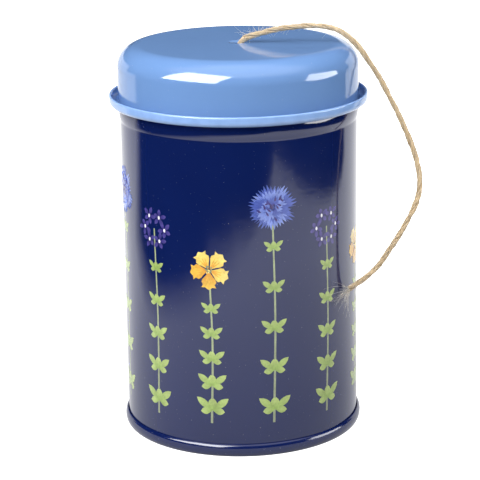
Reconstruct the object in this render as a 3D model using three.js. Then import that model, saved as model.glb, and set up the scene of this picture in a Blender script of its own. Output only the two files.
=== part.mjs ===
// Garden twine tin: a round slip-lid can that holds a centre-pull ball of jute twine.
// The free end of the twine leaves through a small hole in the middle of the lid.
// Millimetres, +Z up, origin at the centre of the ring the can stands on, front towards -Y.
import * as THREE from 'three';
import { mergeVertices } from 'three/addons/utils/BufferGeometryUtils.js';

// Overall sizes
const TOTAL_HEIGHT = 115;
const SHEET = 0.25;
const HALF_SHEET = SHEET / 2;
const SHEET_FACETS = 60;
const BALL_FACETS = 36;

// Can wall
const WALL_RADIUS = 34.7;
const BEAD_START = 93.2;
const BEAD_CREST = 2.7;
const BEAD_PROUD = 0.4;
const NECK_RADIUS = 34.5;
const NECK_START = 98.9;
const NECK_CURL_HEIGHT = 106.9;
const NECK_CURL_RADIUS = 0.7;

// Double seam that joins the wall to the base
const SEAM_RADIUS = 35.72;
const SEAM_HEIGHT = 3.8;
const SEAM_WIDEST = 2;
const FOOT_RADIUS = 34.4;
const FOOT_FLAT = 0.3;
const PANEL_HEIGHT = 3;
const CHUCK_WALL_RADIUS = 34.18;
const HOOK_RADIUS = 35.07;
const HOOK_TOP = 2.6;
const HOOK_BOTTOM = 1.2;

// Lid
const LID_RADIUS = 35.15;
const LID_CORNER = 6.5;
const LID_CURL = 1.45;
const LID_CURL_HEIGHT = 99.05;
const LID_LIP = 0.425;
const LID_LIP_HEIGHT = 100.2;
const HOLE_RADIUS = 2.2;
const HOLE_LIP = 0.5;
const HOLE_LIP_BOTTOM = 113.7;

// Twine
const BALL_RADIUS = 31.5;
const BALL_BORE = 9;
const BALL_BOTTOM = 3.45;
const BALL_TOP = 92;
const BALL_SHOULDER = 9;
const BORE_LIP = 3;
const TWINE_RADIUS = 0.85;
const TWINE_SIDES = 8;
const STEPS_PER_POINT = 2;

const NAVY = 0x14265c;
const BLUE = 0x7aa2dc;
const JUTE = 0xb99363;

// Points (radius, height) along an elliptical arc, angles in degrees.
function ellipse(centreR, centreZ, reachR, reachZ, fromDeg, toDeg, steps) {
  const points = [];
  for (let i = 0; i <= steps; i += 1) {
    const angle = THREE.MathUtils.degToRad(fromDeg + ((toDeg - fromDeg) * i) / steps);
    points.push([centreR + reachR * Math.cos(angle), centreZ + reachZ * Math.sin(angle)]);
  }
  return points;
}

function arc(centreR, centreZ, radius, fromDeg, toDeg, steps) {
  return ellipse(centreR, centreZ, radius, radius, fromDeg, toDeg, steps);
}

// Closed outline of a sheet of even thickness, from the line through the middle of the sheet.
function sheetOutline(middle) {
  const left = [];
  const right = [];
  middle.forEach((point, i) => {
    const before = middle[Math.max(i - 1, 0)];
    const after = middle[Math.min(i + 1, middle.length - 1)];
    const incoming = new THREE.Vector2(point[0] - before[0], point[1] - before[1]).normalize();
    const outgoing = new THREE.Vector2(after[0] - point[0], after[1] - point[1]).normalize();
    const along = incoming.clone().add(outgoing).normalize();
    const straight = i === 0 || i === middle.length - 1;
    const mitre = straight ? 1 : Math.max(incoming.dot(along), 0.5);
    const reach = HALF_SHEET / mitre;
    left.push([point[0] - along.y * reach, point[1] + along.x * reach]);
    right.push([point[0] + along.y * reach, point[1] - along.x * reach]);
  });
  return [...left, ...right.reverse()];
}

// Solid of revolution about Z from an outline; an outline that leaves the axis ends back on it.
function turned(outline, facets) {
  const onAxis = outline.filter(([radius]) => Math.abs(radius) < 1e-6).length > 0;
  const points = outline.map(([radius, height]) => new THREE.Vector2(Math.max(radius, 0), height));
  if (!onAxis) {
    points.push(points[0].clone());
  }
  const geometry = new THREE.LatheGeometry(points, facets);
  geometry.rotateX(Math.PI / 2);
  return outward(geometry);
}

// Welds the vertices and makes the faces point out of the solid.
function outward(geometry) {
  geometry.deleteAttribute('normal');
  geometry.deleteAttribute('uv');
  const welded = mergeVertices(geometry, 1e-4);
  const position = welded.getAttribute('position');
  const index = Array.from(welded.getIndex().array);
  const kept = [];
  let volume = 0;
  for (let i = 0; i < index.length; i += 3) {
    const [a, b, c] = index.slice(i, i + 3);
    if (a === b || b === c || a === c) {
      continue;
    }
    const va = new THREE.Vector3().fromBufferAttribute(position, a);
    const vb = new THREE.Vector3().fromBufferAttribute(position, b);
    const vc = new THREE.Vector3().fromBufferAttribute(position, c);
    volume += va.dot(vb.cross(vc));
    kept.push([a, b, c]);
  }
  const order = volume > 0 ? kept : kept.map(([a, b, c]) => [a, c, b]);
  welded.setIndex(order.flat());
  welded.computeVertexNormals();
  return welded;
}

const group = new THREE.Group();
group.name = 'twine_tin';

function add(name, geometry, color, metalness, roughness) {
  const material = new THREE.MeshStandardMaterial({ color, metalness, roughness });
  material.name = name;
  const mesh = new THREE.Mesh(geometry, material);
  mesh.name = name;
  group.add(mesh);
}

// Can wall: hooked into the seam below, beaded under the lid, necked in and curled at the mouth.
function wallMiddle() {
  const wall = WALL_RADIUS - HALF_SHEET;
  const neck = NECK_RADIUS - HALF_SHEET;
  const hookTurn = (HOOK_RADIUS - wall) / 2;
  const bead = [0, 0.9, 1.8, 2.7, 3.5, 4.3].map((up) => {
    const fromCrest = (up - BEAD_CREST) / BEAD_CREST;
    return [wall + BEAD_PROUD * (1 - fromCrest ** 2), BEAD_START + up];
  });
  return [
    [HOOK_RADIUS, HOOK_TOP],
    ...arc(wall + hookTurn, HOOK_BOTTOM, hookTurn, 0, -180, 4),
    ...bead,
    [wall, NECK_START - 0.8],
    [neck, NECK_START],
    ...arc(neck - NECK_CURL_RADIUS, NECK_CURL_HEIGHT, NECK_CURL_RADIUS, 0, 280, 6),
  ];
}

// Base: a recessed panel whose rim folds down, out and up around the hook of the wall,
// in a full round seam that is widest at half its height.
function baseMiddle() {
  const chuck = CHUCK_WALL_RADIUS - HALF_SHEET;
  const ring = SEAM_RADIUS - HALF_SHEET;
  const panelBend = 0.9;
  const fold = FOOT_RADIUS - chuck;
  const footEdge = FOOT_RADIUS + FOOT_FLAT;
  const closing = WALL_RADIUS + 0.15;
  return [
    [0, PANEL_HEIGHT],
    ...arc(chuck - panelBend, PANEL_HEIGHT - panelBend, panelBend, 90, 0, 3),
    ...arc(chuck + fold, fold + HALF_SHEET, fold, 180, 270, 3),
    ...ellipse(footEdge, SEAM_WIDEST, ring - footEdge, SEAM_WIDEST - HALF_SHEET, 270, 360, 5),
    ...ellipse(closing, SEAM_WIDEST, ring - closing, SEAM_HEIGHT - HALF_SHEET - SEAM_WIDEST, 15, 90, 4),
  ];
}

// Lid: turned-down hole in the middle, flat top, round corner, skirt, and an edge rolled outward and
// up into an open channel whose lip turns back in.
function lidMiddle() {
  const hole = HOLE_RADIUS + HALF_SHEET;
  const lip = HOLE_LIP - HALF_SHEET;
  const top = TOTAL_HEIGHT - HALF_SHEET;
  const skirt = LID_RADIUS - HALF_SHEET;
  const corner = LID_CORNER - HALF_SHEET;
  const roll = LID_CURL - HALF_SHEET;
  const lipTurn = LID_LIP - HALF_SHEET;
  return [
    [hole, HOLE_LIP_BOTTOM],
    ...arc(hole + lip, top - lip, lip, 180, 90, 3),
    ...arc(skirt - corner, top - corner, corner, 90, 0, 6),
    ...arc(skirt + roll, LID_CURL_HEIGHT, roll, 180, 360, 6),
    ...arc(skirt + 2 * roll - lipTurn, LID_LIP_HEIGHT, lipTurn, 0, 150, 3),
  ];
}

// Wound ball: a drum with rounded shoulders and a centre bore.
function ballOutline() {
  const outer = BALL_RADIUS - BALL_SHOULDER;
  const inner = BALL_BORE + BORE_LIP;
  return [
    ...arc(outer, BALL_BOTTOM + BALL_SHOULDER, BALL_SHOULDER, 270, 360, 4),
    ...arc(outer, BALL_TOP - BALL_SHOULDER, BALL_SHOULDER, 0, 90, 4),
    ...arc(inner, BALL_TOP - BORE_LIP, BORE_LIP, 90, 180, 3),
    ...arc(inner, BALL_BOTTOM + BORE_LIP, BORE_LIP, 180, 270, 3),
  ];
}

// Free twine: up from the bore of the ball, through the lid, over its edge and down beside the can.
const TWINE_ROUTE = [
  [7.3, 1.2, 30],
  [6.5, 2.2, 38],
  [5, 2.4, 47],
  [3.4, 1.6, 57],
  [2.2, 0.6, 67],
  [1.4, -0.2, 77],
  [0.8, -0.6, 87],
  [0.1, -0.75, 96],
  [-0.4, -0.8, 103],
  [-0.5, -0.8, 108],
  [-0.2, -0.75, 111.3],
  [0.3, -0.7, 113.2],
  [0.75, -0.7, 114.4],
  [1.3, -0.72, 115.35],
  [2.25, -0.8, 116.2],
  [4.2, -1, 116.95],
  [7.2, -1.3, 117.8],
  [11.8, -1.5, 118.9],
  [16.4, -1.5, 119.4],
  [21.1, -1.5, 119.7],
  [25.7, -1.5, 119.3],
  [29.4, -1.5, 118.1],
  [32.6, -1.6, 115.8],
  [35.4, -2, 112.9],
  [38.1, -2.9, 109],
  [41, -4, 104.6],
  [43.5, -5.1, 99.8],
  [46, -6.2, 95],
  [48.3, -7.3, 89.8],
  [50.2, -8.4, 85.2],
  [51.7, -9.5, 80.2],
  [52.3, -10.6, 75.8],
  [52, -11.5, 71.8],
  [50.6, -12.5, 67.8],
  [48.6, -13.4, 64.2],
  [46.1, -14.3, 60],
  [43.1, -15.3, 55.7],
  [39.9, -16.3, 51.4],
  [35.8, -17.3, 47.9],
  [31.4, -18.2, 45.2],
];

// A curve whose stations follow the route points, so that close points give short steps.
class RouteCurve extends THREE.CatmullRomCurve3 {
  getUtoTmapping(u) {
    return u;
  }
}

function twine(route) {
  const points = route.map(([x, y, z]) => new THREE.Vector3(x, y, z));
  const curve = new RouteCurve(points, false, 'catmullrom', 0.5);
  const section = new THREE.Shape();
  for (let i = 0; i < TWINE_SIDES; i += 1) {
    const angle = (2 * Math.PI * i) / TWINE_SIDES;
    const x = TWINE_RADIUS * Math.cos(angle);
    const y = TWINE_RADIUS * Math.sin(angle);
    if (i === 0) {
      section.moveTo(x, y);
    } else {
      section.lineTo(x, y);
    }
  }
  section.closePath();
  const geometry = new THREE.ExtrudeGeometry(section, {
    steps: (route.length - 1) * STEPS_PER_POINT,
    bevelEnabled: false,
    extrudePath: curve,
  });
  return outward(geometry);
}

add('body_wall', turned(sheetOutline(wallMiddle()), SHEET_FACETS), NAVY, 0.2, 0.25);
add('base_end', turned(sheetOutline(baseMiddle()), SHEET_FACETS), NAVY, 0.2, 0.3);
add('lid', turned(sheetOutline(lidMiddle()), SHEET_FACETS), BLUE, 0.2, 0.25);
add('twine_ball', turned(ballOutline(), BALL_FACETS), JUTE, 0, 0.95);
add('twine_lead', twine(TWINE_ROUTE), JUTE, 0, 0.95);

export default group;
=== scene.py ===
import math

import bpy
import numpy as np
from mathutils import Matrix, Vector
from mathutils.geometry import delaunay_2d_cdt


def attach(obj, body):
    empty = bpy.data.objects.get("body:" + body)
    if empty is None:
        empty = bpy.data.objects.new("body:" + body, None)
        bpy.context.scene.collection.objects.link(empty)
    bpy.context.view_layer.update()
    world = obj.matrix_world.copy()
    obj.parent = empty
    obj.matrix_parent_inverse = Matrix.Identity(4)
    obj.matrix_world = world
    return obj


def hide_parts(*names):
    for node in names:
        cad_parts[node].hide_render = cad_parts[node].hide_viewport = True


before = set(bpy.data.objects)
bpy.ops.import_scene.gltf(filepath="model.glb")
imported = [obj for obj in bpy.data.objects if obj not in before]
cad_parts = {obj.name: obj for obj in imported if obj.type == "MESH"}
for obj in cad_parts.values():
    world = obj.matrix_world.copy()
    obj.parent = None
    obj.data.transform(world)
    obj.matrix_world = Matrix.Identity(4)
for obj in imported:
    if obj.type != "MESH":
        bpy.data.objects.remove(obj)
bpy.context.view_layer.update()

MM = 0.001
RNG = np.random.default_rng(7)

SHEET = 0.25
HALF_SHEET = SHEET / 2
TOTAL_HEIGHT = 115.0
WALL_RADIUS = 34.7
BEAD_START = 93.2
BEAD_CREST = 2.7
BEAD_PROUD = 0.4
NECK_RADIUS = 34.5
NECK_START = 98.9
NECK_CURL_HEIGHT = 106.9
NECK_CURL_RADIUS = 0.7
SEAM_RADIUS = 35.72
SEAM_HEIGHT = 3.8
SEAM_WIDEST = 2.0
FOOT_RADIUS = 34.4
FOOT_FLAT = 0.3
PANEL_HEIGHT = 3.0
CHUCK_WALL_RADIUS = 34.18
HOOK_RADIUS = 35.07
HOOK_TOP = 2.6
HOOK_BOTTOM = 1.2
LID_RADIUS = 35.15
LID_CORNER = 6.5
LID_CROWN = 0.06
LID_CURL = 1.45
LID_CURL_HEIGHT = 99.05
LID_LIP = 0.425
LID_LIP_HEIGHT = 100.2
HOLE_RADIUS = 2.2
HOLE_LIP = 0.5
HOLE_LIP_BOTTOM = 113.7
LAP_AZIMUTH = -96.0
BALL_RADIUS = 31.5
BALL_BORE = 9.0
BALL_BOTTOM = 3.45
BALL_TOP = 92.0
BALL_SHOULDER = 9.0
BORE_LIP = 3.0


# ---------------------------------------------------------------- camera

# Lens in millimetres, angles in degrees, place in metres.
CAMERA_LENS = 142.975
CAMERA_PITCH = 15.839
CAMERA_PAN = -0.015
CAMERA_ROLL = -0.843
CAMERA_PLACE = (0.0, -0.54792, 0.21067)


def add_camera():
    """A long lens in front of the can and above its lid, looking down at it."""
    data = bpy.data.cameras.new("camera")
    data.sensor_width = 36.0
    data.lens = CAMERA_LENS
    data.clip_start = 0.01
    data.clip_end = 50.0
    camera = bpy.data.objects.new("camera", data)
    bpy.context.scene.collection.objects.link(camera)
    pitch = math.radians(CAMERA_PITCH)
    pan = math.radians(CAMERA_PAN)
    roll = math.radians(CAMERA_ROLL)
    forward = Vector((math.sin(pan) * math.cos(pitch), math.cos(pan) * math.cos(pitch), -math.sin(pitch)))
    right = Vector((math.cos(pan), -math.sin(pan), 0.0))
    up = right.cross(forward)
    rolled_right = math.cos(roll) * right + math.sin(roll) * up
    rolled_up = -math.sin(roll) * right + math.cos(roll) * up
    turn = Matrix((rolled_right, rolled_up, -forward)).transposed().to_4x4()
    camera.matrix_world = Matrix.Translation(CAMERA_PLACE) @ turn
    bpy.context.scene.camera = camera


# ---------------------------------------------------------------- meshes

def link(obj):
    bpy.context.scene.collection.objects.link(obj)
    return obj


def mesh_object(name, vertices, faces, smooth_angle=None):
    """A mesh object from vertices in millimetres; smooth_angle in degrees shades it smooth below that."""
    mesh = bpy.data.meshes.new(name)
    mesh.from_pydata((np.asarray(vertices) * MM).tolist(), [], faces)
    mesh.update()
    if smooth_angle is not None:
        mesh.shade_smooth()
        mesh.set_sharp_from_angle(angle=math.radians(smooth_angle))
    return link(bpy.data.objects.new(name, mesh))


def ellipse(centre_r, centre_z, reach_r, reach_z, start, end, steps):
    """Points (radius, height) along an elliptical arc, angles in degrees."""
    angles = np.radians(np.linspace(start, end, steps + 1))
    return [(centre_r + reach_r * math.cos(a), centre_z + reach_z * math.sin(a)) for a in angles]


def arc(centre_r, centre_z, radius, start, end, steps):
    return ellipse(centre_r, centre_z, radius, radius, start, end, steps)


def sheet_outline(middle):
    """Closed outline of a sheet of even thickness, from the line through the middle of the sheet."""
    line = np.array(middle, float)
    steps = np.diff(line, axis=0)
    steps /= np.linalg.norm(steps, axis=1)[:, None]
    before = np.vstack([steps[:1], steps])
    after = np.vstack([steps, steps[-1:]])
    along = before + after
    along /= np.linalg.norm(along, axis=1)[:, None]
    reach = HALF_SHEET / np.maximum((before * along).sum(1), 0.5)
    side = np.stack([-along[:, 1], along[:, 0]], axis=1) * reach[:, None]
    return np.vstack([line + side, (line - side)[::-1]])


def turned(name, outline, segments, on_axis=False):
    """Solid of revolution about Z. With on_axis, the outline's first and last points lie on the axis."""
    outline = np.asarray(outline, float)
    angles = np.linspace(0, 2 * np.pi, segments, endpoint=False)
    rings = outline[1:-1] if on_axis else outline
    count = len(rings)
    vertices = []
    for a in angles:
        for r, z in rings:
            vertices.append((r * math.cos(a), r * math.sin(a), z))
    faces = []
    last = count - 1 if on_axis else count
    for i in range(segments):
        j = (i + 1) % segments
        for k in range(last):
            n = (k + 1) % count
            faces.append((i * count + k, j * count + k, j * count + n, i * count + n))
    if on_axis:
        first_pole = len(vertices)
        vertices.append((0.0, 0.0, outline[0][1]))
        vertices.append((0.0, 0.0, outline[-1][1]))
        for i in range(segments):
            j = (i + 1) % segments
            faces.append((first_pole, j * count, i * count))
            faces.append((first_pole + 1, i * count + count - 1, j * count + count - 1))
    obj = mesh_object(name, vertices, faces)
    face_outward(obj.data)
    obj.data.shade_smooth()
    obj.data.set_sharp_from_angle(angle=math.radians(50))
    return obj


def face_outward(mesh):
    """Turns every face round if the closed mesh is inside out."""
    mesh.calc_loop_triangles()
    points = np.zeros(len(mesh.vertices) * 3)
    mesh.vertices.foreach_get("co", points)
    points = points.reshape(-1, 3)
    corners = np.zeros(len(mesh.loop_triangles) * 3, int)
    mesh.loop_triangles.foreach_get("vertices", corners)
    a, b, c = (points[corners.reshape(-1, 3)[:, k]] for k in range(3))
    if (a * np.cross(b, c)).sum() < 0:
        mesh.flip_normals()


def smooth_line(points, step):
    """Uniform Catmull-Rom curve through the points, resampled to an even step."""
    p = np.asarray(points, float)
    ends = np.vstack([2 * p[0] - p[1], p, 2 * p[-1] - p[-2]])
    line = []
    for i in range(len(p) - 1):
        a, b, c, d = ends[i:i + 4]
        for t in np.linspace(0, 1, 24, endpoint=False):
            line.append(0.5 * (2 * b + (c - a) * t + (2 * a - 5 * b + 4 * c - d) * t ** 2
                               + (3 * b - a - 3 * c + d) * t ** 3))
    line.append(p[-1])
    line = np.array(line)
    reach = np.concatenate([[0], np.cumsum(np.linalg.norm(np.diff(line, axis=0), axis=1))])
    stations = np.linspace(0, reach[-1], max(int(round(reach[-1] / step)), 1) + 1)
    return np.stack([np.interp(stations, reach, line[:, k]) for k in range(line.shape[1])], axis=1)


def frames_along(line):
    """Tangent, normal and binormal at each point, without twist."""
    tangents = np.gradient(line, axis=0)
    tangents /= np.linalg.norm(tangents, axis=1)[:, None]
    first = np.cross(tangents[0], (0.3, 0.9, 0.2))
    normals = [first / np.linalg.norm(first)]
    for t in tangents[1:]:
        n = normals[-1] - t * np.dot(normals[-1], t)
        normals.append(n / np.linalg.norm(n))
    normals = np.array(normals)
    return tangents, normals, np.cross(tangents, normals)


def slow_noise(count, every, amount, rng):
    """A smooth random series: one random value every so many samples."""
    knots = rng.normal(0, amount, max(count // every, 1) + 4)
    return np.interp(np.linspace(0, len(knots) - 1.001, count), np.arange(len(knots)), knots)


class Builder:
    """Collects closed tubes and shells, then makes them one mesh."""

    def __init__(self):
        self.vertices = []
        self.faces = []
        self.values = []
        self.count = 0

    def add(self, vertices, faces, values=None):
        self.vertices.append(np.asarray(vertices, float))
        self.faces.extend(tuple(i + self.count for i in face) for face in faces)
        if values is not None:
            self.values.append(np.asarray(values, float))
        self.count += len(vertices)

    def tube(self, line, radii, sides, phase=None, lobes=0.0):
        """A closed tube; lobes presses its section into two plies that turn with phase."""
        _, normals, binormals = frames_along(line)
        angles = np.linspace(0, 2 * np.pi, sides, endpoint=False)
        turn = np.zeros(len(line)) if phase is None else phase
        rings = []
        for i, centre in enumerate(line):
            radius = radii[i] * (1 - lobes + lobes * np.abs(np.cos(angles)))
            ring = (normals[i] * (radius * np.cos(angles + turn[i]))[:, None]
                    + binormals[i] * (radius * np.sin(angles + turn[i]))[:, None])
            rings.append(centre + ring)
        self.skin(line, rings, sides)

    def skin(self, line, rings, sides):
        """Joins rings of points into a closed tube; each point also keeps its place along and round it."""
        vertices = np.vstack(rings)
        reach = np.concatenate([[0], np.cumsum(np.linalg.norm(np.diff(line, axis=0), axis=1))])
        angles = np.linspace(0, 2 * np.pi, sides, endpoint=False)
        start = 10.0 * (self.count % 97)
        places = np.stack([np.repeat(reach + start, sides), np.tile(np.cos(angles), len(line)),
                           np.tile(np.sin(angles), len(line))], axis=1)
        faces = []
        for i in range(len(line) - 1):
            for k in range(sides):
                n = (k + 1) % sides
                faces.append((i * sides + k, i * sides + n, (i + 1) * sides + n, (i + 1) * sides + k))
        faces.append(tuple(range(sides))[::-1])
        faces.append(tuple((len(line) - 1) * sides + k for k in range(sides)))
        self.add(vertices, faces, places)

    def object(self, name, kept_as, smooth_angle=60):
        """The mesh object; kept_as names the attribute that holds its points' values."""
        obj = mesh_object(name, np.vstack(self.vertices), self.faces, smooth_angle)
        layer = obj.data.color_attributes.new(kept_as, "FLOAT_COLOR", "POINT")
        rgba = np.ones((self.count, 4))
        rgba[:, :3] = np.vstack(self.values)
        layer.data.foreach_set("color", rgba.ravel())
        return obj


# ---------------------------------------------------------------- materials

class Nodes:
    """Short names for building a material's nodes."""

    def __init__(self, name):
        self.material = bpy.data.materials.new(name)
        self.material.use_nodes = True
        self.tree = self.material.node_tree
        self.shader = self.tree.nodes["Principled BSDF"]
        self.place = self.tree.nodes.new("ShaderNodeTexCoord").outputs["Object"]

    def new(self, kind, **settings):
        node = self.tree.nodes.new(kind)
        for key, value in settings.items():
            setattr(node, key, value)
        return node

    def join(self, source, target):
        self.tree.links.new(source, target)

    def noise(self, scale, detail=2.0, roughness=0.5, where=None):
        node = self.new("ShaderNodeTexNoise")
        node.inputs["Scale"].default_value = scale
        node.inputs["Detail"].default_value = detail
        node.inputs["Roughness"].default_value = roughness
        self.join(where or self.place, node.inputs["Vector"])
        return node.outputs["Fac"]

    def stretched(self, scale):
        node = self.new("ShaderNodeMapping")
        node.inputs["Scale"].default_value = scale
        self.join(self.place, node.inputs["Vector"])
        return node.outputs["Vector"]

    def remap(self, value, low, high, to_low, to_high):
        node = self.new("ShaderNodeMapRange")
        for key, number in zip(("From Min", "From Max", "To Min", "To Max"), (low, high, to_low, to_high)):
            node.inputs[key].default_value = number
        self.join(value, node.inputs["Value"])
        return node.outputs["Result"]

    def math(self, operation, a, b):
        node = self.new("ShaderNodeMath", operation=operation)
        for socket, value in zip(node.inputs, (a, b)):
            if isinstance(value, (int, float)):
                socket.default_value = value
            else:
                self.join(value, socket)
        return node.outputs[0]

    def mix(self, factor, a, b, blend="MIX"):
        node = self.new("ShaderNodeMix", data_type="RGBA", blend_type=blend)
        for socket, value in ((node.inputs[0], factor), (node.inputs[6], a), (node.inputs[7], b)):
            if isinstance(value, (int, float)):
                socket.default_value = value
            elif isinstance(value, tuple):
                socket.default_value = (*value, 1.0)
            else:
                self.join(value, socket)
        return node.outputs[2]

    def bump(self, height, strength, distance, normal=None):
        node = self.new("ShaderNodeBump")
        node.inputs["Strength"].default_value = strength
        node.inputs["Distance"].default_value = distance
        self.join(height, node.inputs["Height"])
        if normal is not None:
            self.join(normal, node.inputs["Normal"])
        return node.outputs["Normal"]

    def set(self, socket, value):
        target = self.shader.inputs[socket]
        if isinstance(value, (int, float)):
            target.default_value = value
        elif isinstance(value, tuple):
            target.default_value = (*value, 1.0)
        else:
            self.join(value, target)


def lacquer(name, colour, deep, gloss, wave, rim_radius=None):
    """Stoved gloss lacquer on sheet metal: slight orange peel, faint rubs and a few dust specks.

    Outside rim_radius, in metres from the axis, it is painted paler in noisy patches: a painted highlight
    on the rolled edge."""
    n = Nodes(name)
    cloud = n.remap(n.noise(35, 3), 0.35, 0.65, 0.0, 1.0)
    base = n.mix(cloud, deep, colour)
    if rim_radius is not None:
        flat = n.new("ShaderNodeVectorMath", operation="MULTIPLY")
        n.join(n.place, flat.inputs[0])
        flat.inputs[1].default_value = (1.0, 1.0, 0.0)
        from_axis = n.new("ShaderNodeVectorMath", operation="LENGTH")
        n.join(flat.outputs["Vector"], from_axis.inputs[0])
        rim = n.remap(from_axis.outputs["Value"], rim_radius, rim_radius + 0.0008, 0.0, 1.0)
        # painted highlight: outside rim_radius the lid's rolled edge is painted paler, in noisy patches
        painted_rim_highlight = n.math("MULTIPLY", rim, n.remap(n.noise(260, 3), 0.3, 0.6, 0.75, 1.0))
        base = n.mix(painted_rim_highlight, base, tuple(min(1.0, 1.25 * c + 0.07) for c in colour))
    specks = n.remap(n.noise(2600, 1), 0.77, 0.8, 0.0, 0.35)
    n.set("Base Color", n.mix(specks, base, (0.5, 0.5, 0.52)))
    rub = n.noise(900, 4, 0.7, n.stretched((1.0, 1.0, 0.05)))
    smear = n.remap(n.noise(60, 4, 0.6), 0.35, 0.75, gloss, gloss + 0.05)
    n.set("Roughness", n.math("ADD", smear, n.remap(rub, 0.6, 0.8, 0.0, 0.06)))
    n.set("IOR", 1.56)
    peel = n.bump(n.noise(420, 2), 0.05, 0.0002)
    n.set("Normal", n.bump(n.noise(45, 1), wave, 0.0006, peel))
    return n.material


def printed_ink(name, gloss):
    """Litho ink under the same lacquer; its colour is drawn into the mesh as the attribute ink."""
    n = Nodes(name)
    ink = n.new("ShaderNodeVertexColor", layer_name="ink").outputs["Color"]
    grain = n.remap(n.noise(1500, 3, 0.7), 0.3, 0.7, 0.82, 1.12)
    wash = n.remap(n.noise(320, 3), 0.3, 0.7, 0.86, 1.1)
    shade = n.math("MULTIPLY", grain, wash)
    n.set("Base Color", n.mix(1.0, ink, shade, "MULTIPLY"))
    n.set("Roughness", n.remap(n.noise(500, 2), 0.3, 0.7, gloss, gloss + 0.08))
    n.set("IOR", 1.56)
    n.set("Normal", n.bump(n.noise(420, 2), 0.05, 0.0002))
    return n.material


def jute(name, light, dark):
    """Bare bast fibre: fine streaks along the strand, darker flecks, quite matte."""
    n = Nodes(name)
    strand = n.new("ShaderNodeAttribute", attribute_name="strand").outputs["Vector"]
    lengthwise = n.new("ShaderNodeMapping")
    lengthwise.inputs["Scale"].default_value = (0.35, 2.6, 2.6)
    n.join(strand, lengthwise.inputs["Vector"])
    streak = n.noise(1.6, 4, 0.65, lengthwise.outputs["Vector"])
    fleck = n.remap(n.noise(900, 3, 0.7), 0.35, 0.7, 0.0, 1.0)
    patch = n.remap(n.noise(120, 2), 0.35, 0.65, 0.0, 1.0)
    pale = n.mix(patch, light, tuple(0.80 * c for c in light))
    streaked = n.mix(n.remap(streak, 0.36, 0.62, 0.0, 1.0), dark, pale)
    flecked = n.mix(n.math("MULTIPLY", fleck, 0.25), streaked, dark)
    bleached = n.new("ShaderNodeAttribute", attribute_name="bleach").outputs["Fac"]
    n.set("Base Color", n.mix(bleached, flecked, (0.82, 0.76, 0.64)))
    n.set("Roughness", n.remap(n.noise(800, 2), 0.3, 0.7, 0.70, 0.92))
    n.set("Sheen Weight", 0.3)
    n.set("Sheen Roughness", 0.5)
    n.set("Specular IOR Level", 0.25)
    grooves = n.bump(streak, 0.9, 0.0004)
    n.set("Normal", n.bump(n.noise(2200, 3, 0.7), 0.35, 0.0002, grooves))
    return n.material


def plain_stage(name, colour, emission=0.0):
    n = Nodes(name)
    n.set("Base Color", colour)
    n.set("Roughness", 0.9)
    n.set("Specular IOR Level", 0.0)
    n.set("Emission Color", (1.0, 1.0, 1.0))
    n.set("Emission Strength", emission)
    return n


def glow_material(name, strength):
    """Black, lit from within by strength times the mesh's own glow attribute."""
    n = plain_stage(name, (0.0, 0.0, 0.0))
    glow = n.new("ShaderNodeAttribute", attribute_name="glow").outputs["Fac"]
    n.set("Emission Strength", n.math("MULTIPLY", glow, strength))
    return n.material


def white_floor():
    """Brightly lit white paper that bounces little light back; a painted shadow in its glow makes it a
    little darker round the can.
    """
    n = plain_stage("floor_white", (0.15, 0.15, 0.15))
    shade_centre = n.new("ShaderNodeVectorMath", operation="DISTANCE")
    n.join(n.place, shade_centre.inputs[0])
    shade_centre.inputs[1].default_value = (0.02, -0.01, 0.0)
    distance = shade_centre.outputs["Value"]
    # painted shadow: the glow is darker near the can, centred a little to its right, and fades again far
    # off
    glow = n.remap(distance, 0.04, 0.20, 0.55 * FLOOR_GLOW, FLOOR_GLOW)
    fall = n.remap(distance, 0.25, 0.70, 1.0, 0.72)
    light_path = n.new("ShaderNodeLightPath")
    bounce = n.math("MULTIPLY", fall, n.remap(light_path.outputs["Is Diffuse Ray"], 0.0, 1.0, 1.0, 0.22))
    overexposed = n.math("MULTIPLY", light_path.outputs["Is Camera Ray"], 0.6)
    n.set("Emission Strength", n.math("ADD", n.math("MULTIPLY", glow, bounce), overexposed))
    return n.material


# ---------------------------------------------------------------- free twine

# The twine's route in metres: from the bore of the ball, through the lid and down beside the can.
TWINE_ROUTE = [
    (0.0073, 0.0012, 0.030), (0.0065, 0.0022, 0.038), (0.005, 0.0024, 0.047), (0.0034, 0.0016, 0.057),
    (0.0022, 0.0006, 0.067), (0.0014, -0.0002, 0.077), (0.0008, -0.0006, 0.087),
    (0.0001, -0.00075, 0.096), (-0.0004, -0.0008, 0.103), (-0.0005, -0.0008, 0.108),
    (-0.0002, -0.00075, 0.1113), (0.0003, -0.0007, 0.1132), (0.00075, -0.0007, 0.1144),
    (0.0013, -0.00072, 0.11535), (0.00225, -0.0008, 0.1162), (0.0042, -0.001, 0.11695),
    (0.0072, -0.0013, 0.1178), (0.0118, -0.0015, 0.1189), (0.0164, -0.0015, 0.1194),
    (0.0211, -0.0015, 0.1197), (0.0257, -0.0015, 0.1193), (0.0294, -0.0015, 0.1181),
    (0.0326, -0.0016, 0.1158), (0.0354, -0.002, 0.1129), (0.0381, -0.0029, 0.109),
    (0.041, -0.004, 0.1046), (0.0435, -0.0051, 0.0998), (0.046, -0.0062, 0.095),
    (0.0483, -0.0073, 0.0898), (0.0502, -0.0084, 0.0852), (0.0517, -0.0095, 0.0802),
    (0.0523, -0.0106, 0.0758), (0.052, -0.0115, 0.0718), (0.0506, -0.0125, 0.0678),
    (0.0486, -0.0134, 0.0642), (0.0461, -0.0143, 0.060), (0.0431, -0.0153, 0.0557),
    (0.0399, -0.0163, 0.0514), (0.0358, -0.0173, 0.0479), (0.0314, -0.0182, 0.0452),
]


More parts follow.
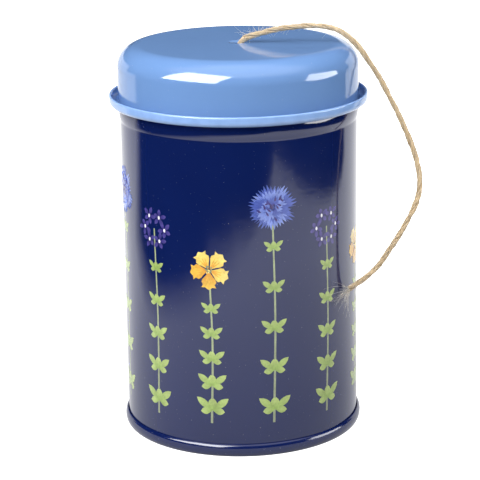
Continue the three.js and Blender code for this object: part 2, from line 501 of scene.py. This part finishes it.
def two_ply(builder, line, rng, pitch=10.5, sides=12):
    """Two flattened plies laid round each other along the line, each a little uneven."""
    count = len(line)
    step = np.linalg.norm(line[1] - line[0])
    tangents, normals, binormals = frames_along(line)
    lay = 2 * np.pi * np.arange(count) * step / pitch + slow_noise(count, 18, 0.35, rng)
    angles = np.linspace(0, 2 * np.pi, sides, endpoint=False)
    thick = 1 + slow_noise(count, 12, 0.07, rng)
    for ply in (0.0, np.pi):
        turn = lay + ply + slow_noise(count, 10, 0.12, rng)
        across = normals * np.cos(turn)[:, None] + binormals * np.sin(turn)[:, None]
        beside = np.cross(tangents, across)
        centre = line + across * (0.37 * thick)[:, None]
        high = 0.45 * thick * (1 + slow_noise(count, 5, 0.05, rng))
        wide = 0.70 * thick * (1 + slow_noise(count, 7, 0.06, rng))
        rings = []
        for i in range(count):
            rings.append(centre[i] + across[i] * (high[i] * np.cos(angles))[:, None]
                         + beside[i] * (wide[i] * np.sin(angles))[:, None])
        builder.skin(centre, rings, sides)


def fibre(builder, start, direction, length, droop, rng, thick=0.045):
    """One stray fibre: a thin curved three-sided hair that tapers to its tip."""
    steps = 6
    bend = rng.normal(0, 1, 3)
    bend -= direction * np.dot(bend, direction)
    points = []
    for t in np.linspace(0, 1, steps):
        points.append(start + direction * length * t + bend * length * droop * t * t)
    radii = thick * (1 - 0.75 * np.linspace(0, 1, steps))
    builder.tube(clear_of_can(np.array(points)), radii, 3)


def clear_of_can(points):
    """Points of a hair that starts beside the wall, below the lid, are kept off the wall."""
    if np.hypot(*points[0][:2]) < WALL_RADIUS or points[0][2] > LID_CURL_HEIGHT - 5:
        return points
    away = np.hypot(points[:, 0], points[:, 1])
    least = WALL_RADIUS + 0.35
    points[:, :2] *= (np.maximum(away, least) / away)[:, None]
    return points


def unit(vector):
    vector = np.asarray(vector, float)
    return vector / np.linalg.norm(vector)


HAIRS = 820
LINE_STEP = 0.35


def add_twine_lead(material):
    """The strand with its fuzz: short hairs all along, tufts here and there, and a frayed bare end."""
    route = np.array(TWINE_ROUTE) / MM
    line = smooth_line(route, LINE_STEP)
    strand = Builder()
    two_ply(strand, line, RNG)
    lead = strand.object("twine_lead_strand", "strand", 70)
    lead.data.materials.append(material)
    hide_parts("twine_lead")
    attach(lead, "lead")

    fuzz = Builder()
    tangents, normals, binormals = frames_along(line)
    above_ball = int(np.argmax(line[:, 2] > BALL_TOP + 3))
    for _ in range(HAIRS):
        i = int(RNG.integers(above_ball, len(line) - 2))
        angle = RNG.uniform(0, 2 * np.pi)
        out = normals[i] * math.cos(angle) + binormals[i] * math.sin(angle)
        heading = unit(out * RNG.uniform(0.15, 0.8) + tangents[i] * RNG.choice((-1, 1)))
        inside_lid = np.hypot(*line[i][:2]) < 3 and line[i][2] > 108
        length = RNG.uniform(0.4, 0.8) if inside_lid else RNG.gamma(2.2, 0.55) + 0.4
        fibre(fuzz, line[i] + out * 0.55, heading, length, RNG.uniform(0.1, 0.5), RNG, 0.04)
    for place, many, reach, lean in TUFTS:
        i = int(np.argmin(np.linalg.norm(line - np.array(place), axis=1)))
        for _ in range(many):
            heading = unit(np.array(lean) + RNG.normal(0, 0.45, 3))
            start = line[i] + RNG.normal(0, 0.35, 3)
            fibre(fuzz, start, heading, reach * RNG.uniform(0.45, 1.0), RNG.uniform(0.05, 0.35), RNG)
    hairs = fuzz.object("twine_lead_fuzz", "strand", 70)
    bleach = hairs.data.attributes.new("bleach", "FLOAT", "POINT")
    bleach.data.foreach_set("value", np.full(len(hairs.data.vertices), 0.9))
    hairs.data.materials.append(material)
    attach(hairs, "lead")
    length = np.linalg.norm(np.diff(line, axis=0), axis=1).sum() * MM


# Tufts of stray fibre: place on the strand, how many, how long, and the way they lean.
TUFTS = [
    ((12.5, -1.5, 119.0), 2, 3.6, (-1.0, -0.1, 1.0)),
    ((8.0, -1.3, 118.0), 7, 3.6, (-0.4, -0.6, 0.3)),
    ((4.2, -1.0, 117.0), 10, 4.4, (-0.9, -0.3, 0.6)),
    ((6.0, -1.2, 117.4), 5, 5.0, (-0.5, 0.9, 0.9)),
    ((3.0, -1.0, 116.4), 7, 4.6, (0.2, -0.9, -0.15)),
    ((25.7, -1.5, 119.3), 5, 3.2, (0.3, -0.8, -0.6)),
    ((20.0, -1.5, 119.6), 4, 2.6, (0.6, -0.7, 0.3)),
    ((51.0, -9.0, 83.0), 6, 3.4, (0.8, -0.1, 0.7)),
    ((47.0, -6.8, 92.5), 4, 2.6, (0.9, 0.0, -0.2)),
    ((52.0, -11.5, 71.8), 5, 2.6, (0.8, -0.3, -0.6)),
    ((43.1, -15.3, 55.7), 6, 3.0, (0.6, -0.4, -0.7)),
    ((31.4, -18.2, 45.2), 16, 11.0, (-0.9, -1.5, -0.1)),
    ((31.4, -18.2, 45.2), 14, 9.0, (-0.8, -1.4, -1.0)),
    ((31.4, -18.2, 45.2), 8, 6.0, (-0.5, -0.9, -1.4)),
    ((33.5, -17.8, 46.3), 8, 4.5, (-0.2, -0.9, -0.7)),
]


# ---------------------------------------------------------------- can, base and lid

def wall_middle():
    wall = WALL_RADIUS - HALF_SHEET
    neck = NECK_RADIUS - HALF_SHEET
    hook_turn = (HOOK_RADIUS - wall) / 2
    bead = []
    for up in np.linspace(0, 4.3, 20):
        bead.append((wall + BEAD_PROUD * (1 - ((up - BEAD_CREST) / BEAD_CREST) ** 2), BEAD_START + up))
    fall = NECK_START - bead[-1][1]
    step_in = []
    for t in np.linspace(0.15, 1, 8):
        ease = t * t * (3 - 2 * t)
        step_in.append((bead[-1][0] + (neck - bead[-1][0]) * ease, bead[-1][1] + fall * t))
    return [
        (HOOK_RADIUS, HOOK_TOP),
        *arc(wall + hook_turn, HOOK_BOTTOM, hook_turn, 0, -180, 10),
        (wall, SEAM_HEIGHT + 0.5), (wall, 30.0), (wall, 60.0), (wall, BEAD_START - 0.4),
        *bead,
        *step_in,
        *arc(neck - NECK_CURL_RADIUS, NECK_CURL_HEIGHT, NECK_CURL_RADIUS, 0, 285, 24),
    ]


def add_lap_seam(obj):
    """The welded lap up the side of the wall stands a little proud of it."""
    lap_angle = math.radians(LAP_AZIMUTH - 90)
    half_width = 2.6
    height = 0.14
    ramp = 0.9
    for vertex in obj.data.vertices:
        x, y, z = (c / MM for c in vertex.co)
        radius = math.hypot(x, y)
        off = abs(math.remainder(math.atan2(y, x) - lap_angle, 2 * math.pi)) * radius
        if off < half_width + ramp and SEAM_HEIGHT < z < BEAD_START and radius > WALL_RADIUS - 0.05:
            lift = height * min(1.0, (half_width + ramp - off) / ramp)
            vertex.co.x *= (radius + lift) / radius
            vertex.co.y *= (radius + lift) / radius


def base_middle():
    chuck = CHUCK_WALL_RADIUS - HALF_SHEET
    ring = SEAM_RADIUS - HALF_SHEET
    fold = FOOT_RADIUS - chuck
    foot_edge = FOOT_RADIUS + FOOT_FLAT
    closing = WALL_RADIUS + 0.15
    bead_depth = 0.45
    bead_start = 23.5
    bead_end = 28.5
    panel = [(r, PANEL_HEIGHT) for r in (0.0, 8.0, 16.0, 22.0)]
    for r in np.linspace(bead_start, bead_end, 13):
        along = (r - bead_start) / (bead_end - bead_start)
        panel.append((r, PANEL_HEIGHT - bead_depth * math.sin(math.pi * along)))
    return [
        *panel,
        (31.0, PANEL_HEIGHT),
        *arc(chuck - 0.9, PANEL_HEIGHT - 0.9, 0.9, 90, 0, 8),
        *arc(chuck + fold, fold + HALF_SHEET, fold, 180, 270, 8),
        *ellipse(foot_edge, SEAM_WIDEST, ring - foot_edge, SEAM_WIDEST - HALF_SHEET, 270, 360, 16),
        *ellipse(closing, SEAM_WIDEST, ring - closing, SEAM_HEIGHT - HALF_SHEET - SEAM_WIDEST, 6, 90, 14),
    ]


def lid_middle():
    hole = HOLE_RADIUS + HALF_SHEET
    lip = HOLE_LIP - HALF_SHEET
    top = TOTAL_HEIGHT - HALF_SHEET
    skirt = LID_RADIUS - HALF_SHEET
    corner = LID_CORNER - HALF_SHEET
    roll = LID_CURL - HALF_SHEET
    lip_turn = LID_LIP - HALF_SHEET
    flat = skirt - corner
    crown = [(r, top - LID_CROWN * (r / flat) ** 2) for r in np.linspace(4.0, flat, 14)]
    return [
        (hole, HOLE_LIP_BOTTOM),
        *arc(hole + lip, top - lip, lip, 180, 90, 8),
        *crown,
        *arc(flat, top - LID_CROWN - corner, corner, 88, 0, 28),
        *arc(skirt + roll, LID_CURL_HEIGHT, roll, 180, 360, 24),
        *arc(skirt + 2 * roll - lip_turn, LID_LIP_HEIGHT, lip_turn, 0, 150, 10),
    ]


def add_sheet_parts(navy, duller_navy, blue):
    wall = turned("can_wall", sheet_outline(wall_middle()), 240)
    add_lap_seam(wall)
    base = turned("can_base", sheet_outline(base_middle()), 240, on_axis=True)
    lid = turned("can_lid", sheet_outline(lid_middle()), 240)
    for obj, node, slot, body, material in (
        (wall, "body_wall", "wall_lacquer", "tin", navy),
        (base, "base_end", "base_lacquer", "tin", duller_navy),
        (lid, "lid", "lid_lacquer", "lid", blue),
    ):
        obj.data.materials.append(material)
        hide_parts(node)
        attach(obj, body)


# ---------------------------------------------------------------- ball of twine

def ball_meridian():
    """The ball's outline from the bottom of the bore, round the outside, to the top of the bore."""
    flat = BALL_RADIUS - BALL_SHOULDER
    inner = BALL_BORE + BORE_LIP
    return [
        (inner, BALL_BOTTOM), (17.0, BALL_BOTTOM),
        *arc(flat, BALL_BOTTOM + BALL_SHOULDER, BALL_SHOULDER, 270, 360, 10),
        *arc(flat, BALL_TOP - BALL_SHOULDER, BALL_SHOULDER, 0, 90, 10),
        (17.0, BALL_TOP), (inner, BALL_TOP),
    ]


def add_ball(material):
    """A core drum, with two layers of strand wound over it from end to end and rings down the bore."""
    inset = 1.5
    end_inset = 1.4
    inner = BALL_BORE + BORE_LIP
    drum = []
    for r, z in ball_meridian():
        inside = min(max(z, BALL_BOTTOM + end_inset), BALL_TOP - end_inset)
        drum.append((r - inset if r > inner else r, inside))
    bore = [(BALL_BORE + 1.2, BALL_TOP - BORE_LIP), (BALL_BORE + 1.2, BALL_BOTTOM + BORE_LIP)]
    core = turned("twine_ball_core", drum + bore, 96)
    line = np.array(ball_meridian())
    reach = np.concatenate([[0], np.cumsum(np.linalg.norm(np.diff(line, axis=0), axis=1))])
    windings = Builder()
    passes = 52
    for layer, (sink, sense) in enumerate(((2.1, 1), (0.95, -1))):
        for k in range(passes):
            t = np.linspace(0, 1, 120)
            along = reach[-1] * (0.5 - 0.5 * np.cos(np.pi * t)) * 0.35 + reach[-1] * t * 0.65
            radius = np.interp(along, reach, line[:, 0])
            height = np.interp(along, reach, line[:, 1])
            slope_r = np.gradient(radius)
            slope_z = np.gradient(height)
            size = np.hypot(slope_r, slope_z)
            radius = radius - sink * slope_z / size
            height = height + sink * slope_r / size
            angle = 2 * np.pi * (k + 0.5 * layer) / passes + sense * 2.3 * t + RNG.normal(0, 0.012)
            path = np.stack([radius * np.cos(angle), radius * np.sin(angle), height], axis=1)
            path = smooth_line(path[::3], 1.0)
            phase = 2 * np.pi * np.arange(len(path)) / 6.5 + RNG.uniform(0, 6)
            windings.tube(path, np.full(len(path), 0.88), 8, phase, 0.3)
    turns = 26
    t = np.linspace(0, 1, turns * 40)
    climb = BALL_BOTTOM + 4.0 + (BALL_TOP - BALL_BOTTOM - 8.0) * t
    sweep = 2 * np.pi * turns * t
    path = np.stack([(BALL_BORE + 1.0) * np.cos(sweep), (BALL_BORE + 1.0) * np.sin(sweep), climb], axis=1)
    windings.tube(path, np.full(len(path), 0.85), 6, sweep * 9.0, 0.3)
    wound = windings.object("twine_ball_windings", "strand", 70)
    for obj in (core, wound):
        obj.data.materials.append(material)
        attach(obj, "ball")
    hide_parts("twine_ball")


# ---------------------------------------------------------------- printed plants

def on_wall(s, z, lift):
    """A point of the print: s is the distance round the wall from the middle of the front."""
    angle = s / WALL_RADIUS
    radius = WALL_RADIUS + lift
    return (radius * math.sin(angle), -radius * math.cos(angle), z)


def resample(outline, step):
    """The closed outline with extra points, none further apart than step."""
    points = []
    for a, b in zip(outline, np.roll(outline, -1, axis=0)):
        pieces = max(int(math.ceil(np.linalg.norm(b - a) / step)), 1)
        points.extend(a + (b - a) * k / pieces for k in range(pieces))
    return np.array(points)


# How far each layer of ink stands over the last, and how far ink reaches into the wall.
INK_STEP = 0.006
INK_SUNK = 0.03


class Print:
    """One printed motif: thin closed patches of ink wrapped on the wall, each a little over the last."""

    def __init__(self, origin):
        self.builder = Builder()
        self.origin = origin
        self.laid = []

    def next_layer(self, low, high):
        """One layer above every patch that this one's box meets."""
        under = [layer for a, b, layer in self.laid if (a < high).all() and (low < b).all()]
        layer = 1 + max(under, default=0)
        self.laid.append((low, high, layer))
        return layer

    def patch(self, outline, base, tip=None, along=None):
        """Fills the outline; the colour runs from base to tip over the segment along."""
        outline = np.asarray(outline, float)
        area = np.dot(outline[:, 0], np.roll(outline[:, 1], -1)) - np.dot(
            outline[:, 1], np.roll(outline[:, 0], -1))
        if area < 0:
            outline = outline[::-1]
        edge = resample(outline, 0.9)
        low = edge.min(0)
        high = edge.max(0)
        inner = []
        grid = 1.1
        for x in np.arange(low[0] + grid / 2, high[0], grid):
            for y in np.arange(low[1] + grid / 2, high[1], grid):
                inner.append((x, y))
        points = [Vector(p) for p in edge] + [Vector(p) for p in inner]
        rim = [(i, (i + 1) % len(edge)) for i in range(len(edge))]
        flat, _, triangles, *_ = delaunay_2d_cdt(points, rim, [], 1, 1e-5)
        triangles = [tuple(t) for t in triangles if len(set(t)) == 3]
        if not triangles:
            return
        used = sorted({i for t in triangles for i in t})
        new = {old: i for i, old in enumerate(used)}
        flat = np.array([tuple(flat[i]) for i in used])
        triangles = [tuple(new[i] for i in t) for t in triangles]
        top = INK_STEP + INK_STEP * self.next_layer(low, high)
        placed = flat + np.array(self.origin)
        count = len(flat)
        vertices = [on_wall(s, z, top) for s, z in placed]
        vertices += [on_wall(s, z, -INK_SUNK) for s, z in placed]
        faces = list(triangles)
        faces += [(c + count, b + count, a + count) for a, b, c in triangles]
        edges = {}
        for a, b, c in triangles:
            for e in ((a, b), (b, c), (c, a)):
                edges[e] = True
        for a, b in edges:
            if (b, a) not in edges:
                faces.append((b, a, a + count, b + count))
        base = np.array(base)
        tip = base if tip is None else np.array(tip)
        if along is None:
            mixed = np.zeros(count)
        else:
            start = np.array(along[0])
            way = np.array(along[1]) - start
            mixed = np.clip(((flat - start) @ way) / (way @ way), 0, 1)
        colours = base + (tip - base) * mixed[:, None]
        self.builder.add(vertices, faces, np.vstack([colours, colours]))

    def stem(self, points, start_width, end_width, base, tip=None):
        """A ribbon along a smooth line, with its own width at each end."""
        line = smooth_line(points, 1.0)
        way = np.gradient(line, axis=0)
        way /= np.linalg.norm(way, axis=1)[:, None]
        side = np.stack([-way[:, 1], way[:, 0]], axis=1)
        half = np.linspace(start_width, end_width, len(line))[:, None] / 2
        self.patch(np.vstack([line + side * half, (line - side * half)[::-1]]), base, tip,
                   (points[0], points[-1]))

    def blade(self, root, angle, length, width, base, tip, teeth=0, depth=0.25, full=0.45):
        """A petal or leaf from its root: full is where it is widest, teeth cut its far edge."""
        rad = math.radians(angle)
        way = np.array((math.cos(rad), math.sin(rad)))
        side = np.array((-way[1], way[0]))
        outline = []
        steps = 7
        for sign in (1, -1):
            half = []
            for t in np.linspace(0, 1, steps)[1:-1] if teeth else np.linspace(0, 1, steps)[:-1]:
                swell = math.sin(math.pi * t ** (math.log(0.5) / math.log(full))) ** 0.85
                half.append(np.array(root) + way * length * t * (1 - depth * bool(teeth))
                            + side * sign * width / 2 * max(swell, 0.1))
            outline.append(half)
        far = []
        if teeth:
            for k in range(2 * teeth - 1):
                across = 1 - 2 * k / (2 * teeth - 2) if teeth > 1 else 0.0
                reach = 1.0 - 0.12 * across ** 2 if k % 2 == 0 else 1.0 - depth
                far.append(np.array(root) + way * length * reach + side * width / 2 * across)
        else:
            far.append(np.array(root) + way * length)
        points = [np.array(root)] + outline[0][1:] + far + outline[1][1:][::-1]
        self.patch(points, base, tip, (root, np.array(root) + way * length))

    def dot(self, centre, radius, colour, squash=1.0):
        angles = np.linspace(0, 2 * np.pi, 9)[:-1]
        self.patch([(centre[0] + radius * math.cos(a), centre[1] + squash * radius * math.sin(a))
                    for a in angles], colour)

    def finish(self, name, material):
        obj = self.builder.object(name, "ink", 40)
        obj.data.materials.append(material)
        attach(obj, "tin")
        return obj


# Inks, linear colour
SKY_DARK = (0.035, 0.050, 0.27)
SKY = (0.085, 0.135, 0.47)
SKY_PALE = (0.23, 0.31, 0.68)
ANTHER = (0.05, 0.012, 0.07)
STEM_PALE = (0.34, 0.40, 0.22)
STEM_GREY = (0.26, 0.30, 0.19)
LEAF_GREY = (0.20, 0.25, 0.16)
LIME = (0.24, 0.36, 0.08)
LIME_PALE = (0.40, 0.50, 0.17)
YELLOW = (0.80, 0.50, 0.07)
YELLOW_PALE = (0.86, 0.68, 0.20)
AMBER = (0.66, 0.26, 0.03)
VIOLET = (0.028, 0.022, 0.13)
VIOLET_PALE = (0.085, 0.070, 0.30)
WHITE = (0.85, 0.85, 0.90)


def composite_head(p, centre, radius, inks, florets, heart):
    """A ragged composite flower: rings of toothed trumpet florets round a dark tufted heart."""
    dark, middle, pale, deep = inks
    p.dot(centre, radius * 0.35, dark)
    for ring, (reach, many) in enumerate(((1.0, florets), (0.74, florets - 4), (0.46, florets - 9))):
        for k in range(many):
            rad = math.radians(360 * (k + 0.5 * ring) / many + RNG.uniform(-8, 8))
            size = radius * reach * RNG.uniform(0.80, 1.08)
            end = np.array((math.cos(rad) * size, math.sin(rad) * size))
            root = np.array(centre) + end * 0.22
            heading = math.degrees(math.atan2(end[1], end[0])) + RNG.uniform(-10, 10)
            ink = (dark, middle) if RNG.random() < 0.5 else (middle, pale)
            p.blade(root, heading, np.linalg.norm(end) * 0.78, radius * 0.40 * (0.72 + 0.28 * reach),
                    ink[0], ink[1], teeth=4, depth=0.36, full=0.68)
    for _ in range(heart):
        where = np.array(centre) + RNG.normal(0, radius * 0.19, 2)
        p.blade(where, RNG.uniform(20, 160), radius * 0.24, radius * 0.075, deep, dark, full=0.4)


def open_buttercup(p, centre, size):
    """Five separate notched petals seen from the front, each streaked, with a small tufted eye."""
    for k, (angle, reach) in enumerate(((122, 1.02), (50, 1.05), (-22, 1.0), (-92, 0.98), (190, 0.98))):
        rad = math.radians(angle)
        root = np.array(centre) + np.array((math.cos(rad), math.sin(rad))) * size * 0.06
        p.blade(root, angle, size * reach, size * 0.78, AMBER if k > 2 else YELLOW,
                YELLOW if k > 2 else YELLOW_PALE, teeth=3, depth=0.13, full=0.66)
        for turn in (-14, 0, 14):
            p.blade(root, angle + turn, size * reach * 0.66, size * 0.07, AMBER, YELLOW, full=0.5)
    for _ in range(16):
        offset = RNG.normal(0, size * 0.10, 2)
        p.dot(np.array(centre) + offset, size * 0.045, LEAF_GREY if RNG.random() < 0.6 else YELLOW_PALE)


def small_star(p, centre, size):
    """A small dark violet flower of five narrow petals round a white throat."""
    turn = RNG.uniform(0, 72)
    for k in range(5):
        p.blade(centre, turn + 72 * k, size * RNG.uniform(0.85, 1.15), size * 0.5, VIOLET, VIOLET_PALE,
                full=0.6)
    p.dot(centre, size * 0.15, WHITE, 1.5)


def cut_leaf(p, root, angle, size):
    """A small leaf of three pointed lobes."""
    for spread, reach in ((-46, 0.6), (46, 0.6), (0, 1.0)):
        p.blade(root, angle + spread, size * reach, size * 0.36, LIME, LIME_PALE, full=0.58)


# The printed pattern: upright sprigs of three kinds, evenly spaced round the wall.
SPRIGS = 12
SPRIG_FOOT = 10.0
SPRIG_HEIGHTS = {"daisy": 74.0, "star": 66.0, "rose": 56.0}
LEAF_PAIRS = 5
LAP_CLEARANCE = 10.0


def sprig(name, place, kind, material):
    """One upright stem with leaves in even pairs and a flower, or a ring of small ones, at its top."""
    p = Print((place, 0.0))
    top = SPRIG_HEIGHTS[kind]
    middle = (SPRIG_FOOT + top) / 2
    p.stem([(0.0, SPRIG_FOOT), (0.6, middle), (0.0, top)], 0.7, 0.45, STEM_GREY, STEM_PALE)
    for pair in range(LEAF_PAIRS):
        height = SPRIG_FOOT + 4.0 + (top - SPRIG_FOOT - 16.0) * pair / (LEAF_PAIRS - 1)
        for angle in (38, 142):
            cut_leaf(p, (0.3, height), angle, 6.0 - 0.6 * pair)
    if kind == "daisy":
        composite_head(p, (0.0, top), 7.2, (SKY_DARK, SKY, SKY_PALE, ANTHER), 20, 16)
    elif kind == "rose":
        open_buttercup(p, (0.0, top), 5.6)
    else:
        for k in range(6):
            turn = math.radians(60 * k)
            small_star(p, (4.0 * math.cos(turn), top + 4.0 * math.sin(turn)), 2.5)
    p.finish(name, material)


def add_print(material):
    """Sprigs all round the wall, left out where the lap runs."""
    kinds = list(SPRIG_HEIGHTS)
    round_wall = 2 * math.pi * WALL_RADIUS
    lap = math.radians(LAP_AZIMUTH) * WALL_RADIUS
    for k in range(SPRIGS):
        place = round_wall * ((k + 0.5) / SPRIGS - 0.5)
        if abs(place - lap) > LAP_CLEARANCE:
            kind = kinds[k % len(kinds)]
            sprig(f"print_{kind}_sprig_{k + 1}", place, kind, material)


# ---------------------------------------------------------------- stage and light

FLOOR_GLOW = 1.46
FLOOR_REACH = 7.0
BACKDROP_RADIUS = 5.5
BACKDROP_HEIGHT = 4.0
AIM = Vector((0.0, 0.0, 0.105))
DARK = (0.0, 0.0, 0.0)


def stage_mesh(name, corners, faces, material):
    mesh = bpy.data.meshes.new(name)
    mesh.from_pydata(corners, [], faces)
    mesh.materials.append(material)
    obj = link(bpy.data.objects.new(name, mesh))
    return obj


def only_in_reflections(obj):
    obj.visible_camera = False
    obj.visible_diffuse = False
    obj.visible_shadow = False
    obj.visible_transmission = False


def add_floor():
    """A white floor, and far off a white wall that only the camera sees."""
    size = FLOOR_REACH
    corners = [(-size, -size, 0), (size, -size, 0), (size, size, 0), (-size, size, 0)]
    stage_mesh("floor", corners, [(0, 1, 2, 3)], white_floor())
    sides = 48
    turns = [2 * math.pi * k / sides for k in range(sides)]
    ring = [(BACKDROP_RADIUS * math.cos(a), BACKDROP_RADIUS * math.sin(a)) for a in turns]
    corners = [(x, y, 0.0) for x, y in ring] + [(x, y, BACKDROP_HEIGHT) for x, y in ring]
    faces = [(k, (k + 1) % sides, sides + (k + 1) % sides, sides + k) for k in range(sides)]
    backdrop = stage_mesh("backdrop", corners, faces, plain_stage("backdrop_white", DARK, 1.5).material)
    backdrop.visible_glossy = False
    backdrop.visible_diffuse = False
    backdrop.visible_shadow = False


# Edge of the white board the can stands on, and how softly it ends there, in metres.
BOARD_EDGE = [
    (-4.0, 1.60, 0.10), (-0.340, 0.165, 0.07), (-0.205, 0.115, 0.06), (-0.145, 0.03, 0.06),
    (-0.125, -0.07, 0.06), (-0.092, -0.135, 0.07), (-0.068, -0.185, 0.08), (0.0, -0.232, 0.07),
    (0.13, -0.290, 0.020), (0.212, -0.330, 0.010), (0.236, -0.292, 0.010), (0.268, -0.235, 0.010),
    (0.298, -0.07, 0.02), (0.298, 0.13, 0.02), (0.325, 0.19, 0.03), (4.0, 2.6, 0.10),
]


def add_dark_surround():
    """Beyond the white board the studio is dark, and the lacquer mirrors it."""
    height = 0.0006
    inner = np.array([(x, y) for x, y, _ in BOARD_EDGE])
    soft = np.array([s for _, _, s in BOARD_EDGE])
    way = np.gradient(inner, axis=0)
    way /= np.linalg.norm(way, axis=1)[:, None]
    outward = np.stack([way[:, 1], -way[:, 0]], axis=1)
    outer = inner + outward * soft[:, None]
    angles = np.arctan2(outer[:, 1], outer[:, 0])
    far = FLOOR_REACH * np.stack([np.cos(angles), np.sin(angles)], axis=1)
    count = len(inner)
    corners = [(x, y, height) for x, y in np.vstack([inner, outer, far])]
    faces = []
    for k in range(count - 1):
        faces.append((k, count + k, count + k + 1, k + 1))
        faces.append((count + k, 2 * count + k, 2 * count + k + 1, count + k + 1))
    surround = stage_mesh("dark_surround", corners, faces, glow_material("dark_surround", FLOOR_GLOW + 0.2))
    values = surround.data.attributes.new("glow", "FLOAT", "POINT")
    values.data.foreach_set("value", [1.0] * count + [0.0] * (2 * count))
    only_in_reflections(surround)


def towards(azimuth, elevation, distance):
    """A place seen from the lid in a direction in degrees, azimuth 0 towards the camera."""
    a = math.radians(azimuth)
    e = math.radians(elevation)
    way = Vector((math.sin(a) * math.cos(e), -math.cos(a) * math.cos(e), math.sin(e)))
    return AIM + way * distance


def add_card(name, directions, distance, strength, soft=0.0):
    """A glowing card that only shows in reflections; its corners are azimuths and elevations.

    Its glow fades out over the share soft of the way from its edge to its middle."""
    outer = [towards(azimuth, elevation, distance) for azimuth, elevation in directions]
    middle = sum(outer, Vector()) / len(outer)
    inner = [corner.lerp(middle, max(soft, 0.01)) for corner in outer]
    count = len(outer)
    faces = [tuple(range(count))]
    faces += [(k, (k + 1) % count, count + (k + 1) % count, count + k) for k in range(count)]
    card = stage_mesh(name, inner + outer, faces, glow_material(name, strength))
    values = card.data.attributes.new("glow", "FLOAT", "POINT")
    values.data.foreach_set("value", [1.0] * count + [0.0 if soft else 1.0] * count)
    only_in_reflections(card)


def add_lamp(name, azimuth, elevation, width, height, radiance, in_reflections):
    """An area light a metre from the can, aimed at it."""
    data = bpy.data.lights.new(name, "AREA")
    data.shape = "RECTANGLE"
    data.size = width
    data.size_y = height
    data.energy = radiance * width * height * math.pi
    lamp = link(bpy.data.objects.new(name, data))
    lamp.location = towards(azimuth, elevation, 1.0)
    lamp.rotation_mode = "QUATERNION"
    lamp.rotation_quaternion = (lamp.location - AIM).to_track_quat("Z", "Y")
    lamp.visible_camera = False
    lamp.visible_glossy = in_reflections


def add_light():
    add_lamp("window_light", -41, 36, 1.1, 0.8, 6.3, False)
    add_lamp("side_light", 80, 25, 0.6, 0.5, 6.5, False)
    add_lamp("sky_light", 0, 86, 1.6, 1.6, 1.65, False)
    add_card("window", [(-76, 11), (-62, 50), (-6, 40), (-21, 8)], 1.0, 16.0)
    add_card("softbox", [(63, -2), (71, 20), (104, 9), (105, -3), (80, -8)], 0.9, 9.0)
    front = [(azimuth, 30) for azimuth in range(-75, 76, 15)]
    back = [(120, 62), (150, 62), (180, 62), (-150, 62), (-120, 62)]
    add_card("ceiling", [*front, (100, 40), *back, (-100, 40)], 3.2, 1.6, soft=0.45)
    for name, start, end, top in (("reflector_right", 126, 176, 16), ("reflector_left", -126, -168, 12)):
        add_card(name, [(start, -7), (end, -7), (end, top - 8), (start, top)], 0.8, 1.2)
    world = bpy.data.worlds.new("studio")
    bpy.context.scene.world = world
    world.use_nodes = True
    world.node_tree.nodes["Background"].inputs["Color"].default_value = (0.03, 0.03, 0.032, 1.0)
    bpy.context.scene.view_settings.view_transform = "Standard"
    bpy.context.scene.view_settings.look = "None"


add_camera()
JUTE_LEAD = jute("jute_lead", (0.82, 0.65, 0.41), (0.40, 0.27, 0.14))
add_twine_lead(JUTE_LEAD)
BASE = lacquer("base_lacquer", (0.0030, 0.0098, 0.070), (0.0027, 0.0088, 0.064), 0.11, 0.05)
NAVY = lacquer("navy_lacquer", (0.0030, 0.0098, 0.070), (0.0027, 0.0088, 0.064), 0.07, 0.05)
BLUE = lacquer("blue_lacquer", (0.132, 0.246, 0.485), (0.128, 0.239, 0.475), 0.05, 0.03, 0.0360)
add_sheet_parts(NAVY, BASE, BLUE)
add_print(printed_ink("printed_ink", 0.09))
add_ball(jute("jute_ball", (0.60, 0.42, 0.22), (0.27, 0.165, 0.075)))
add_floor()
add_dark_surround()
add_light()
